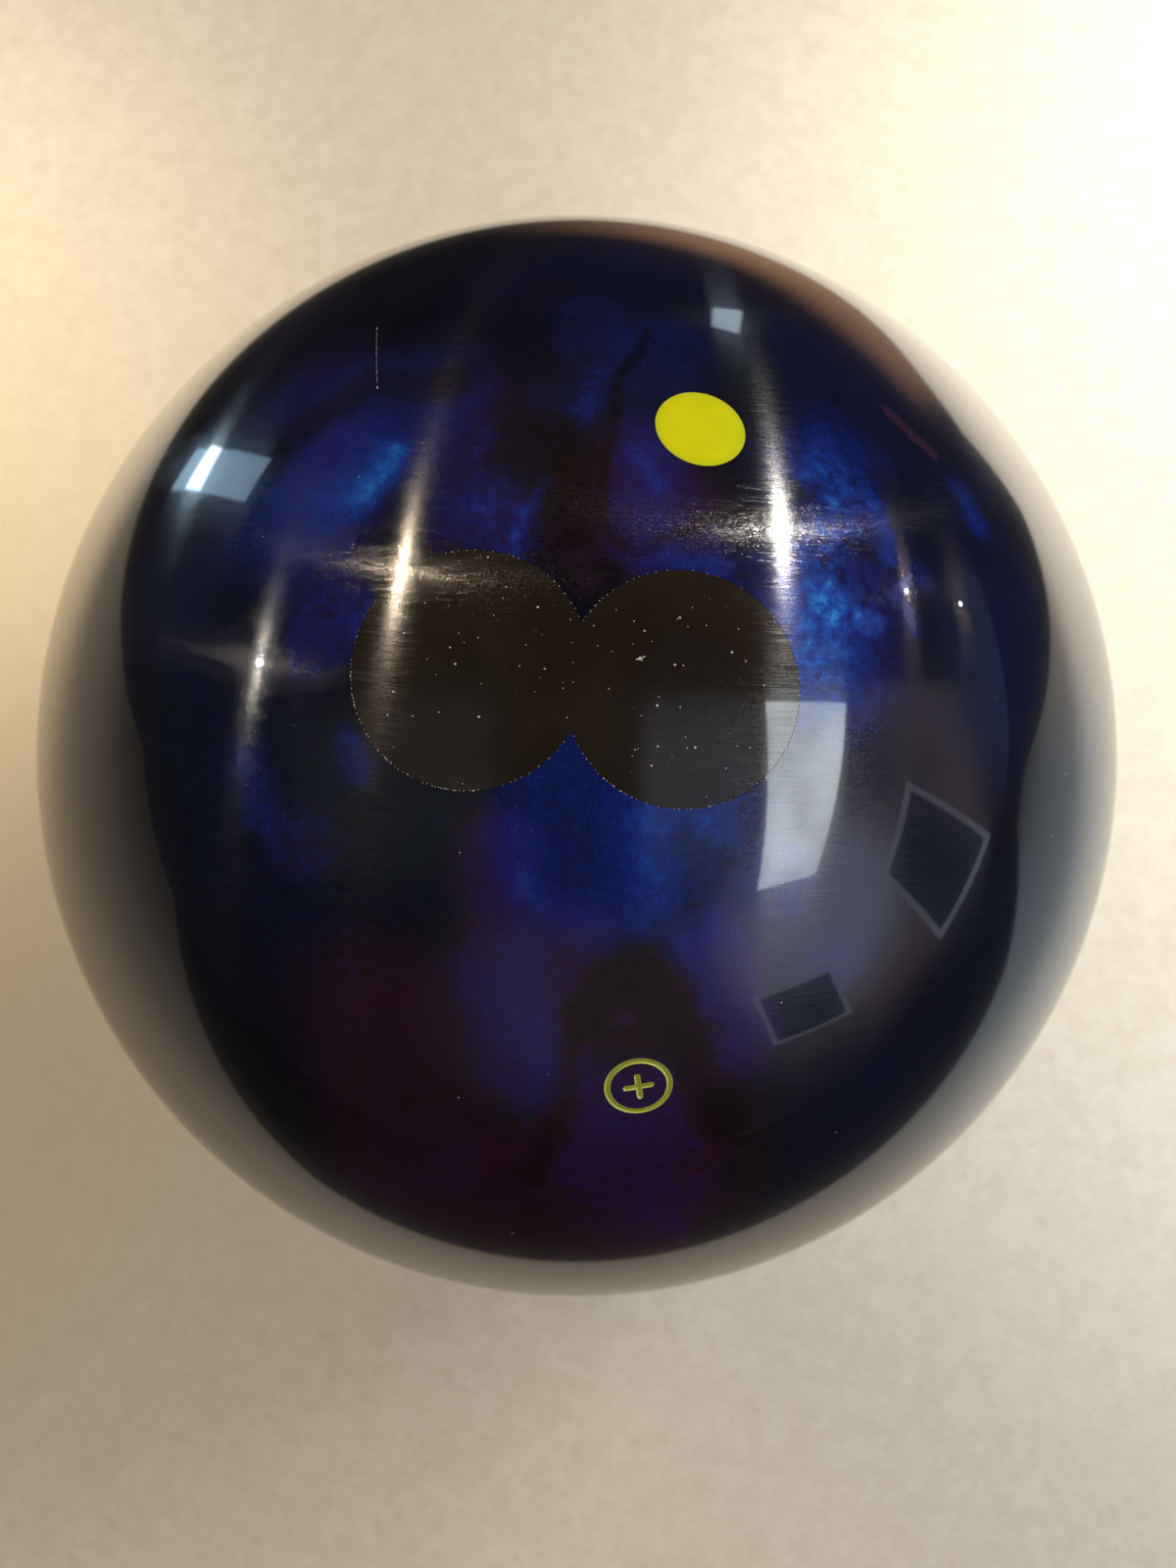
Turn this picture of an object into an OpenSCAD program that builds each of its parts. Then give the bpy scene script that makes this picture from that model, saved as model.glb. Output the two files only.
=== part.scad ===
// Bowling ball, plugged for redrilling.
// Origin: centre of the ball. +Z: up through the middle of the finger grip.
// -Y: from the grip towards the thumb. +X: to the right of the grip.
// A direction on the ball is given by its lean from +Z and its heading about +Z,
// counted from +X towards +Y, both in degrees. All lengths are in millimetres.

/* [Ball] */
// Diameter over the polished cover
ball_d = 217; // [215.9:0.1:218.3]
// Thickness of the coverstock shell
cover_t = 22; // [20:0.5:24]

/* [Grip plugs] */
// Diameter of the left finger plug
finger_plug_d_left = 32; // [30:0.1:32.2]
// Diameter of the right finger plug
finger_plug_d_right = 31.6; // [28.5:0.1:31.8]
// Depth of the finger plugs below the surface
finger_plug_depth = 57; // [50:0.5:60]
// Lean of the left finger plug from the top
finger_lean_left = 7.3; // [7:0.1:9]
// Lean of the right finger plug from the top
finger_lean_right = 7.8; // [7:0.1:9]
// Turn of the line through both finger plugs about +Z
grip_turn = -5.3; // [-10:0.1:5]
// Diameter of the thumb plug
thumb_plug_d = 34.925; // [32:0.5:38]
// Depth of the thumb plug below the surface
thumb_plug_depth = 70; // [64:0.5:72]
// Lean of the thumb plug from the top, which sets the span of the grip
thumb_lean = 73.7; // [66:0.1:78]
// Heading of the thumb plug
thumb_heading = -94; // [-100:0.5:-85]

/* [Locator pin] */
// Diameter of the locator pin
pin_d = 12.8; // [9:0.1:13]
// Lean of the pin from the top
pin_lean = 21.7; // [21.5:0.1:40]
// Heading of the pin
pin_heading = 63.9; // [62:0.1:80]

/* [Weight block] */
// Radius of the bulb
bulb_r = 44.5; // [40:0.5:46]
// Height of the bulb's centre along the pin axis
bulb_z = 0; // [-3:0.5:3]
// Radius of the neck between bulb and cap
neck_r = 28; // [24:0.5:32]
// Radius of the foot under the bulb
foot_r = 35; // [28:0.5:38]
// Distance of the foot's flat end below the ball's centre
foot_end = 62; // [58:0.5:66]
// Outer radius of the flange round the bulb
flange_r = 50; // [48:0.5:54]
// Thickness of the flange
flange_t = 8; // [7:0.5:12]
// Radius of the cap
cap_r = 34; // [30:0.5:36]
// Height at which the cap sits on the neck
cap_base = 40; // [38:0.5:41]
// Height of the cap's top, where the pin stands
cap_top = 70; // [68:0.5:74]
// Sideways offset of the block, which puts the undrilled ball's balance point under its mark
block_offset = 2.4; // [0:0.1:3]

/* [Balance mark] */
// Lean of the mark from the top
mark_lean = 30.8; // [29:0.1:40]
// Heading of the mark
mark_heading = -80.6; // [-90:0.1:-70]
// Outer diameter of the mark's ring
mark_d = 9.6; // [7:0.1:12]
// Width of the engraved lines
mark_line = 0.85; // [0.6:0.05:1.2]
// Length of each line of the small cross in the ring
mark_cross = 4.4; // [2.5:0.1:4.5]
// Depth of the engraving
mark_depth = 0.6; // [0.4:0.05:1]
// Depth of the paint's face below the surface
mark_recess = 0.2; // [0.1:0.05:0.3]

/* [Hidden] */
$fn = 96;
ball_r = ball_d / 2;
core_r = ball_r - cover_t;          // joint between coverstock and outer core
pin_depth = ball_r - cap_top;
rim_chamfer = 3;                    // on the rims of the block and its cap
tool_rise = 6;                      // how far cutting tools stand out of the ball
ring_overcut = 1;                   // how far the ring's inner cutter passes each face

mark_floor = ball_r - mark_depth;   // bottom of the engraving
paint_top = ball_r - mark_recess;
paint_color = [0.76, 0.80, 0.30];

// unit vector of a direction on the ball
function direction(lean, heading) =
    [sin(lean) * cos(heading), sin(lean) * sin(heading), cos(lean)];

// the block is offset square to the pin axis, towards the balance mark
mark_dir = direction(mark_lean, mark_heading);
pin_dir = direction(pin_lean, pin_heading);
mark_across_pin = mark_dir - (mark_dir * pin_dir) * pin_dir;
offset_dir = mark_across_pin / norm(mark_across_pin);

// children stand on +Z and are turned to a direction on the ball
module aim(lean, heading) rotate([0, lean, heading]) children();

// children cut off flush with the ball's surface
module within_ball() intersection() {
    sphere(r = ball_r);
    children();
}

// a straight radial hole of diameter d, from its flat bottom to clear of the surface
module bore(d, depth)
    translate([0, 0, ball_r - depth])
        cylinder(d = d, h = depth + tool_rise);

module bore_left()
    aim(-finger_lean_left, grip_turn) bore(finger_plug_d_left, finger_plug_depth);
module bore_right()
    aim(finger_lean_right, grip_turn) bore(finger_plug_d_right, finger_plug_depth);
module bore_thumb()
    aim(thumb_lean, thumb_heading) bore(thumb_plug_d, thumb_plug_depth);
module bore_pin()
    aim(pin_lean, pin_heading) bore(pin_d, pin_depth);

module grip_bores() {
    bore_left();
    bore_right();
    bore_thumb();
}

// a disc of radius r with both rims chamfered, from z0 to z1
module rimmed(r, z0, z1) {
    face_r = r - rim_chamfer;
    rotate_extrude() polygon([
        [0, z0],
        [face_r, z0],
        [r, z0 + rim_chamfer],
        [r, z1 - rim_chamfer],
        [face_r, z1],
        [0, z1]
    ]);
}

// children stand parallel to the pin axis, set a little to one side of it
module on_block_axis()
    translate(block_offset * offset_dir) aim(pin_lean, pin_heading) children();

module block_shape() difference() {
    union() {
        // bulb
        translate([0, 0, bulb_z]) sphere(r = bulb_r);
        // flange
        rimmed(flange_r, bulb_z - flange_t / 2, bulb_z + flange_t / 2);
        // neck
        translate([0, 0, bulb_z]) cylinder(r = neck_r, h = cap_base - bulb_z);
        // foot
        rimmed(foot_r, -foot_end, bulb_z);
    }
    // trims the bulb's crown level with the underside of the cap
    translate([0, 0, cap_base]) cylinder(r = bulb_r, h = bulb_r);
}

module cap_shape() rimmed(cap_r, cap_base, cap_top);

// the mark's ring and cross stand on the floor of the engraving and rise to height top
module mark_ring(top) translate([0, 0, mark_floor]) difference() {
    height = top - mark_floor;
    cylinder(d = mark_d, h = height);
    translate([0, 0, -ring_overcut])
        cylinder(d = mark_d - 2 * mark_line, h = height + 2 * ring_overcut);
}

module mark_cross(top) translate([-mark_cross / 2, -mark_line / 2, mark_floor]) {
    height = top - mark_floor;
    arm = (mark_cross - mark_line) / 2;
    cube([mark_cross, mark_line, height]);
    translate([arm, -arm, 0]) cube([mark_line, mark_cross, height]);
}

// pearl reactive-resin shell: the playing surface
module coverstock() color([0.03, 0.05, 0.24]) difference() {
    sphere(r = ball_r);
    sphere(r = core_r);
    grip_bores();
    bore_pin();
    aim(mark_lean, mark_heading) {
        mark_ring(ball_r + tool_rise);
        mark_cross(ball_r + tool_rise);
    }
}

// light filler cast round the weight block
module outer_core() color([0.78, 0.74, 0.64]) difference() {
    sphere(r = core_r);
    on_block_axis() {
        block_shape();
        cap_shape();
    }
    grip_bores();
    bore_pin();
}

// dense block: bulb, flange, neck and foot in one casting
module weight_block() color([0.42, 0.12, 0.10]) difference() {
    on_block_axis() block_shape();
    grip_bores();
}

// dense cap cast on the neck; the finger bores run into it
module weight_block_cap() color([0.16, 0.30, 0.20]) difference() {
    on_block_axis() cap_shape();
    grip_bores();
}

// round rod that held the block in the mould
module locator_pin() color([0.86, 0.84, 0.08]) within_ball() bore_pin();

// cast plug of the left finger hole; the right one was bored after it and cuts into it
module finger_plug_left() color([0.07, 0.05, 0.05]) difference() {
    within_ball() bore_left();
    bore_right();
}

module finger_plug_right() color([0.07, 0.06, 0.06]) within_ball() bore_right();

module thumb_plug() color([0.08, 0.07, 0.07]) within_ball() bore_thumb();

// paint in the engraved ring and cross of the balance mark
module cg_mark_ring() color(paint_color) aim(mark_lean, mark_heading) mark_ring(paint_top);
module cg_mark_cross() color(paint_color) aim(mark_lean, mark_heading) mark_cross(paint_top);

coverstock();
outer_core();
weight_block();
weight_block_cap();
locator_pin();
finger_plug_left();
finger_plug_right();
thumb_plug();
cg_mark_ring();
cg_mark_cross();
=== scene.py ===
"""A pearl bowling ball with plugged finger and thumb holes, a locator pin and a painted mark.

The ball is centred on the origin and rests on a floor under it. The two finger plugs lie
near +Z, which faces the camera; +Y is up in the view and +X is right.
"""
import math
import random

import bmesh
import bpy
import numpy as np
from mathutils import Matrix, Vector


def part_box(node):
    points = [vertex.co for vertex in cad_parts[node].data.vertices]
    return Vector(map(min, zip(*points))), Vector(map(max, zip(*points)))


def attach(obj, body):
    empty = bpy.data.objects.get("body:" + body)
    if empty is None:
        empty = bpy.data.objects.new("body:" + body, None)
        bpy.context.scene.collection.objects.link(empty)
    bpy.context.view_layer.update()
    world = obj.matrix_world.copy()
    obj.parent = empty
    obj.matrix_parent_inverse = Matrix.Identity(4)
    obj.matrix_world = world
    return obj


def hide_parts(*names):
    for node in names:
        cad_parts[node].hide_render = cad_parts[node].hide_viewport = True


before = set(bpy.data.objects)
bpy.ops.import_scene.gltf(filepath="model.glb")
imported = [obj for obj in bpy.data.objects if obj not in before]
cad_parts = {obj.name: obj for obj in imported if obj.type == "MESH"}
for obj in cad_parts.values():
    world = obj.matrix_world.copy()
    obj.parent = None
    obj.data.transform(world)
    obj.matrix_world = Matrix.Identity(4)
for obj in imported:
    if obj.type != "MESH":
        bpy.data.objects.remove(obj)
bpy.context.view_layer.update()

RNG = random.Random(4211)
MM = 0.001

# ---------------------------------------------------------------- sizes, metres
BALL_R = round(-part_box("coverstock")[0].z, 4)
CORE_R = round(-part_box("outer_core")[0].z, 4)
JOINT = 0.035 * MM               # width of the tiny chamfer either side of a joint
BORE_SEGMENTS = 240


def surface_height(distance):
    """Height of the ball's surface at a distance from the axis it is measured along."""
    return math.sqrt(BALL_R * BALL_R - distance * distance)


class Hole:
    """A round hole: its lean from +Z and heading about +Z in degrees, radius and floor height."""

    def __init__(self, lean, heading, radius, base):
        self.matrix = (Matrix.Rotation(math.radians(heading), 4, "Z")
                       @ Matrix.Rotation(math.radians(lean), 4, "Y"))
        self.axis = np.array(self.matrix @ Vector((0, 0, 1)), float)
        self.radius, self.base = radius, base

    def covers(self, point):
        p = np.array(point, float)
        return (p / np.linalg.norm(p)) @ self.axis > math.sqrt(1 - (self.radius / BALL_R) ** 2)


GRIP_TURN = -5.3
FINGER_BASE = BALL_R - 57 * MM
LEFT = Hole(-7.3, GRIP_TURN, 16.0 * MM, FINGER_BASE)
RIGHT = Hole(7.8, GRIP_TURN, 15.8 * MM, FINGER_BASE)
THUMB = Hole(73.7, -94.0, 17.4625 * MM, BALL_R - 70 * MM)
PIN = Hole(21.7, 63.9, 6.4 * MM, 70 * MM)
BORES = (LEFT, RIGHT, THUMB, PIN)

# the engraved mark: a ring round a plus with round ends, both of one line width
MARK = Hole(30.8, -80.6, 4.8 * MM, BALL_R - 0.6 * MM)
MARK_LINE = 0.85 * MM
MARK_INNER_R = MARK.radius - MARK_LINE
HALF_LINE = MARK_LINE / 2
ARM = 4.4 * MM / 2 - HALF_LINE   # from the plus's middle to the centre of an arm's round end


# ---------------------------------------------------------------- mesh helpers
def new_object(name, data):
    made = bpy.data.objects.new(name, data)
    bpy.context.scene.collection.objects.link(made)
    return made


def mesh_object(name, vertices, faces):
    mesh = bpy.data.meshes.new(name)
    mesh.from_pydata([tuple(v) for v in vertices], [], faces)
    mesh.validate()
    mesh.update()
    return new_object(name, mesh)


def solid_object(name, vertices, faces):
    """A mesh object whose face normals all point outwards."""
    solid = mesh_object(name, vertices, faces)
    bm = bmesh.new()
    bm.from_mesh(solid.data)
    bmesh.ops.recalc_face_normals(bm, faces=bm.faces)
    bm.to_mesh(solid.data)
    bm.free()
    return solid


def primitive(name, create, **sizes):
    """An object made by one of the bmesh create operators."""
    bm = bmesh.new()
    create(bm, **sizes)
    mesh = bpy.data.meshes.new(name)
    bm.to_mesh(mesh)
    bm.free()
    return new_object(name, mesh)


def lathe(profile, segments, matrix, closed=False):
    """A solid of revolution about +Z, moved by matrix.

    An open profile starts and ends on the axis; a closed one makes a ring.
    """
    vertices, rings = [], []
    for r, z in profile:
        if r < 1e-9:
            rings.append([len(vertices)])
            vertices.append((0.0, 0.0, z))
        else:
            rings.append(list(range(len(vertices), len(vertices) + segments)))
            for k in range(segments):
                angle = 2 * math.pi * k / segments
                vertices.append((r * math.cos(angle), r * math.sin(angle), z))
    pairs = list(zip(rings, rings[1:]))
    if closed:
        pairs.append((rings[-1], rings[0]))
    faces = []
    for low, high in pairs:
        for k in range(segments):
            j = (k + 1) % segments
            if len(low) == 1:
                faces.append((low[0], high[j], high[k]))
            elif len(high) == 1:
                faces.append((low[k], low[j], high[0]))
            else:
                faces.append((low[k], low[j], high[j], high[k]))
    return [matrix @ Vector(v) for v in vertices], faces


def prism_stack(loops, matrix):
    """A closed solid from outlines of equal length: [(outline, z), ...], capped at both ends."""
    count = len(loops[0][0])
    vertices, faces = [], []
    for outline, z in loops:
        vertices += [(x, y, z) for x, y in outline]
    last = (len(loops) - 1) * count
    for i in range(0, last, count):
        for k in range(count):
            j = (k + 1) % count
            faces.append((i + k, i + j, i + count + j, i + count + k))
    faces.append(tuple(reversed(range(count))))
    faces.append(tuple(range(last, last + count)))
    return [matrix @ Vector(v) for v in vertices], faces


def plus_outline(half_width, steps=14):
    """Outline of a plus of two bars with round ends, whose centres lie at ARM."""
    points = []
    for quarter in range(4):
        arm = [(ARM, -half_width)]
        for k in range(1, steps):
            angle = -math.pi / 2 + math.pi * k / steps
            arm.append((ARM + half_width * math.cos(angle), half_width * math.sin(angle)))
        arm += [(ARM, half_width), (half_width, half_width)]
        c, s = math.cos(quarter * math.pi / 2), math.sin(quarter * math.pi / 2)
        points += [(x * c - y * s, x * s + y * c) for x, y in arm]
    return points


def join_data(parts):
    all_vertices, all_faces = [], []
    for vertices, faces in parts:
        first = len(all_vertices)
        all_vertices += list(vertices)
        all_faces += [tuple(i + first for i in face) for face in faces]
    return all_vertices, all_faces


def cut(target, cutters):
    """Take each cutter away from the target, then remove the cutter."""
    for cutter in cutters:
        modifier = target.modifiers.new("cut", "BOOLEAN")
        modifier.operation = "DIFFERENCE"
        modifier.solver = "MANIFOLD"
        modifier.object = cutter
        bpy.context.view_layer.update()
        depsgraph = bpy.context.evaluated_depsgraph_get()
        mesh = bpy.data.meshes.new_from_object(target.evaluated_get(depsgraph))
        target.modifiers.clear()
        mesh.materials.clear()
        old = target.data
        target.data = mesh
        bpy.data.meshes.remove(old)
        bpy.data.objects.remove(cutter)


# ---------------------------------------------------------------- true surface normals
# Each face corner takes its normal from the exact surface it lies on, so that a mirror finish
# shows no facets. A sign of -1 turns a surface inwards.
class Sphere:
    def __init__(self, radius, sign=1):
        self.radius, self.sign = radius, sign

    def gap(self, p):
        return np.abs(np.linalg.norm(p, axis=-1) - self.radius)

    def normal(self, p):
        return self.sign * p / np.linalg.norm(p, axis=-1, keepdims=True)


class Cylinder:
    def __init__(self, axis, radius, sign=1):
        self.axis, self.radius, self.sign = axis, radius, sign

    def radial(self, p):
        return p - (p @ self.axis)[..., None] * self.axis

    def gap(self, p):
        return np.abs(np.linalg.norm(self.radial(p), axis=-1) - self.radius)

    def normal(self, p):
        out = self.radial(p)
        return self.sign * out / np.maximum(np.linalg.norm(out, axis=-1, keepdims=True), 1e-12)


class Plane:
    def __init__(self, axis, height, sign=1):
        self.axis, self.height, self.sign = axis, height, sign

    def gap(self, p):
        return np.abs(p @ self.axis - self.height)

    def normal(self, p):
        return np.broadcast_to(self.sign * self.axis, p.shape)


def read_values(items, field, width=1, kind=float):
    values = np.empty(len(items) * width, kind)
    items.foreach_get(field, values)
    return values.reshape(-1, width) if width > 1 else values


def true_normals(piece, surfaces, tolerance=6e-6, least_alignment=0.8):
    """Snap the skin onto the ball, and give each face the normals of its best surface."""
    mesh = piece.data
    places = read_values(mesh.vertices, "co", 3)
    radii = np.linalg.norm(places, axis=1)
    near = np.abs(radii - BALL_R) < tolerance
    places[near] *= (BALL_R / radii[near])[:, None]
    mesh.vertices.foreach_set("co", places.ravel())
    mesh.update()

    corners = places[read_values(mesh.loops, "vertex_index", kind=np.int64)]
    totals = read_values(mesh.polygons, "loop_total", kind=np.int64)
    face_normals = read_values(mesh.polygons, "normal", 3)
    face_count = len(totals)
    face_of = np.repeat(np.arange(face_count), totals)
    centres = np.zeros((face_count, 3))
    np.add.at(centres, face_of, corners)
    centres /= totals[:, None]

    best = np.full(face_count, least_alignment)
    chosen = np.full(face_count, -1)
    for i, surface in enumerate(surfaces):
        worst = np.zeros(face_count)
        np.maximum.at(worst, face_of, surface.gap(corners))
        alignment = (surface.normal(centres) * face_normals).sum(1)
        fits = (worst < tolerance) & (alignment > best)
        best[fits] = alignment[fits]
        chosen[fits] = i
    normals = face_normals[face_of]
    for i, surface in enumerate(surfaces):
        own = chosen[face_of] == i
        if own.any():
            normals[own] = surface.normal(corners[own])
    mesh.shade_smooth()
    mesh.normals_split_custom_set(normals.tolist())
    return piece


# ---------------------------------------------------------------- cover, plugs and pin
def bore_cutter(name, hole, deeper=0.0):
    """The tool that bores a hole outwards from its floor and chamfers its rim."""
    r = hole.radius
    base = hole.base - deeper
    rim = surface_height(r) - JOINT
    flare, above = 2 * MM, BALL_R + 4 * MM
    profile = [(0, base), (r, base), (r, rim), (r + flare, rim + flare), (r + flare, above),
               (0, above)]
    return solid_object(name, *lathe(profile, BORE_SEGMENTS, hole.matrix))


def mark_cutters():
    """Tools for the engraved ring and plus: straight walls, eased floor edges, flared lips."""
    outer, inner, floor_z = MARK.radius, MARK_INNER_R, MARK.base
    ease, lip, flare = 0.12 * MM, 0.05 * MM, 0.6 * MM
    outer_z = surface_height(outer) - lip
    inner_z = surface_height(inner) - lip
    above = BALL_R + 2 * MM
    profile = [(inner, inner_z), (inner, floor_z + ease),
               (inner + ease * 0.4, floor_z + ease * 0.3), (inner + ease, floor_z),
               (outer - ease, floor_z), (outer - ease * 0.4, floor_z + ease * 0.3),
               (outer, floor_z + ease), (outer, outer_z),
               (outer + flare, outer_z + flare), (outer + flare, above),
               (inner - flare, above), (inner - flare, inner_z + flare)]
    ring = solid_object("c5", *lathe(profile, 128, MARK.matrix, closed=True))
    bevel = 0.1 * MM
    arm_z = surface_height(ARM) - lip
    plus = solid_object("c6", *prism_stack([
        (plus_outline(HALF_LINE - bevel), floor_z),
        (plus_outline(HALF_LINE), floor_z + bevel),
        (plus_outline(HALF_LINE), arm_z),
        (plus_outline(HALF_LINE + flare), arm_z + flare)], MARK.matrix))
    return [ring, plus]


def build_cover():
    icosphere = bmesh.ops.create_icosphere
    cover = primitive("cover_shell", icosphere, subdivisions=7, radius=BALL_R)
    cutters = [primitive("inner", icosphere, subdivisions=5, radius=CORE_R)]
    cutters += [bore_cutter(f"c{i}", hole) for i, hole in enumerate(BORES, 1)]
    cut(cover, cutters + mark_cutters())
    surfaces = [Sphere(BALL_R), Sphere(CORE_R, -1)]
    surfaces += [Cylinder(hole.axis, hole.radius, -1) for hole in BORES]
    surfaces += [Cylinder(MARK.axis, MARK.radius, -1), Cylinder(MARK.axis, MARK_INNER_R, 1),
                 Plane(MARK.axis, MARK.base)]
    return true_normals(cover, surfaces)


def plug_profile(hole):
    """Flat foot, straight wall, tiny chamfer, and a crown on the ball's own sphere."""
    r, base = hole.radius, hole.base
    foot, wall_steps, ring_pitch = 0.6 * MM, 6, 1.1 * MM
    rim = surface_height(r) - JOINT
    crown = r - JOINT
    profile = [(0, base), (r * 0.5, base), (r - foot, base), (r, base + foot)]
    profile += [(r, base + foot + (rim - base - foot) * k / wall_steps)
                for k in range(1, wall_steps + 1)]
    rings = max(6, int(crown / ring_pitch))
    for k in range(rings, -1, -1):
        ring_r = crown * k / rings
        profile.append((ring_r, surface_height(ring_r)))
    return profile


def build_plug(name, hole, overlapping=None):
    """A domed plug that fills a hole, less the bore of an overlapping one."""
    plug = solid_object(name, *lathe(plug_profile(hole), BORE_SEGMENTS, hole.matrix))
    surfaces = [Sphere(BALL_R), Cylinder(hole.axis, hole.radius), Plane(hole.axis, hole.base, -1)]
    if overlapping:
        cut(plug, [bore_cutter("c7", overlapping, deeper=2 * MM)])
        surfaces.append(Cylinder(overlapping.axis, overlapping.radius, -1))
    return true_normals(plug, surfaces)


# ---------------------------------------------------------------- painted mark
def paint_depth(from_edge):
    """Depth of the paint below the surface: it climbs the walls and dips in the middle."""
    share = min(1.0, from_edge / HALF_LINE)
    return 0.05 * MM + 0.20 * MM * (1 - (1 - share) ** 2.2)


def build_mark():
    clearance = 0.004 * MM       # the paint stands just clear of the engraved walls
    floor_z = MARK.base + clearance
    outer, inner = MARK.radius, MARK_INNER_R
    half = HALF_LINE - clearance

    ease, steps = 0.12 * MM, 12
    profile = [(outer - ease, floor_z), (inner + ease, floor_z),
               (inner + clearance, floor_z + ease)]
    for k in range(steps + 1):
        across = half * (1 - math.cos(math.pi * k / steps))
        r = inner + clearance + across
        profile.append((r, surface_height(r) - paint_depth(min(across, 2 * half - across))))
    profile.append((outer - clearance, floor_z + ease))
    ring = solid_object("mark_ring_paint", *lathe(profile, 160, MARK.matrix, closed=True))

    bevel, steps = 0.1 * MM, 9
    loops = [(plus_outline(HALF_LINE - bevel), floor_z), (plus_outline(half), floor_z + bevel)]
    for k in range(steps):
        inset = half * (1 - math.cos(math.pi / 2 * k / steps))
        loops.append((plus_outline(half - inset), surface_height(ARM * 0.5) - paint_depth(inset)))
    plus = solid_object("mark_cross_paint", *prism_stack(loops, MARK.matrix))
    for part in (ring, plus):
        part.data.shade_smooth()
        part.data.set_sharp_from_angle(angle=math.radians(50))
    return ring, plus


# ---------------------------------------------------------------- polish residue
def lump(centre, along, length, width, height, seed):
    """A closed, slightly irregular grain half sunk in the surface at a direction."""
    rng = random.Random(seed)
    normal = Vector(centre).normalized()
    tangent = Vector(along)
    tangent = (tangent - normal * tangent.dot(normal)).normalized()
    sideways = normal.cross(tangent)
    rows, columns = 5, 10
    vertices = [normal * (BALL_R + height)]
    for i in range(1, rows):
        for k in range(columns):
            polar, turn = math.pi * i / rows, 2 * math.pi * k / columns
            wobble = 1 + rng.uniform(-0.18, 0.18)
            x = math.sin(polar) * math.cos(turn) * wobble
            y = math.sin(polar) * math.sin(turn) * wobble
            radius = BALL_R + height * math.cos(polar)
            p = normal * radius + tangent * (x * length / 2) + sideways * (y * width / 2)
            # follow the ball's curve, so that long grains don't lift off it
            vertices.append(p.normalized() * radius)
    vertices.append(normal * (BALL_R - height))
    faces = [(0, 1 + k, 1 + (k + 1) % columns) for k in range(columns)]
    for i in range(rows - 2):
        for k in range(columns):
            a, b = 1 + i * columns + k, 1 + i * columns + (k + 1) % columns
            faces.append((a, a + columns, b + columns, b))
    last, row = len(vertices) - 1, 1 + (rows - 2) * columns
    faces += [(last, row + (k + 1) % columns, row + k) for k in range(columns)]
    return vertices, faces


# Dashes round the plug joints: plug, overlapping plug, whether the stretch inside that one is
# left out, base density, and lobes of extra density (amount, centre and width in degrees).
JOINTS = (
    (LEFT, RIGHT, True, 0.22, ((0.68, 205, 48), (0.6, 262, 30), (0.3, 85, 45))),
    (RIGHT, LEFT, False, 0.16, ((0.75, 245, 36), (0.55, 132, 22), (0.3, 20, 30),
                                (0.25, 300, 25))),
    (THUMB, None, False, 0.2, ((0.6, 60, 50), (0.4, 230, 40))),
)
# Pinholes in the plugs: plug, the plug that hides part of it, count, seed.
PINHOLES = ((LEFT, RIGHT, 34, 11), (RIGHT, None, 40, 12), (THUMB, None, 30, 13))
PINHOLE_SIZES = (0.10, 0.12, 0.12, 0.15, 0.15, 0.18, 0.22, 0.28)     # mm
# The scuff on the right plug: x, y and length of each grain, mm.
SCUFF = ((-6.3, 3.1, 0.5), (-6.0, 3.2, 0.34), (-5.7, 3.45, 0.3), (-6.6, 3.0, 0.3),
         (-6.2, 3.35, 0.26), (-5.95, 2.95, 0.24))
SCRATCH_TOP, SCRATCH_FOOT = Vector((-0.274, 0.521, 0.808)), Vector((-0.26, 0.408, 0.875))
DUST_COUNT, DUST_SIZES = 110, (0.10, 0.12, 0.14, 0.2)                # mm
# No dust where the cosine to a hole's axis is above this.
DUST_FREE = ((LEFT, 0.98), (RIGHT, 0.98), (PIN, 0.997), (THUMB, 0.98))


def ring_point(hole, radius, angle):
    """The point on the ball at a radius and angle about a hole's axis."""
    return hole.matrix @ Vector((radius * math.cos(angle), radius * math.sin(angle),
                                 surface_height(radius)))


def joint_dashes(hole, neighbour, skip_inside, base_density, lobes):
    parts = []
    turn = 0.0
    while turn < 360:
        density = base_density
        for amount, centre, width in lobes:
            offset = (turn - centre + 180) % 360 - 180
            density += amount * math.exp(-(offset / width) ** 2)
        angle = math.radians(turn)
        inside = neighbour is not None and neighbour.covers(ring_point(hole, hole.radius, angle))
        chance = 0.25 if inside else 0.45 + 0.5 * density
        if not (inside and skip_inside) and RNG.random() < chance:
            length = (0.10 + 0.55 * RNG.random() ** 4 * density) * MM
            radius = hole.radius + RNG.uniform(-0.05, 0.05) * MM
            width = RNG.uniform(0.06, 0.12) * MM
            along = hole.matrix.to_3x3() @ Vector((-math.sin(angle), math.cos(angle), 0))
            parts.append(lump(ring_point(hole, radius, angle), along, length, width,
                              height=0.012 * MM, seed=RNG.random()))
        turn += RNG.uniform(1.4, 3.4) / (0.35 + 0.75 * density)
    return parts


def pinholes(hole, hidden_by, count, seed):
    parts = []
    rng = random.Random(seed)
    for _ in range(count):
        radius = hole.radius * math.sqrt(rng.random()) * 0.96
        point = ring_point(hole, radius, rng.uniform(0, 2 * math.pi))
        if hidden_by and hidden_by.covers(point):
            continue
        size = rng.choice(PINHOLE_SIZES) * MM
        parts.append(lump(point, (1, 0, 0), length=size * rng.uniform(0.9, 1.2), width=size,
                          height=0.012 * MM, seed=rng.random()))
    return parts


def scuff():
    parts = []
    for x, y, length in SCUFF:
        x, y = x * MM, y * MM
        point = RIGHT.matrix @ Vector((x, y, math.sqrt(BALL_R * BALL_R - x * x - y * y)))
        parts.append(lump(point, (1, 0.3, 0), length * MM, width=length * 0.5 * MM,
                          height=0.014 * MM, seed=length))
    return parts


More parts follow.
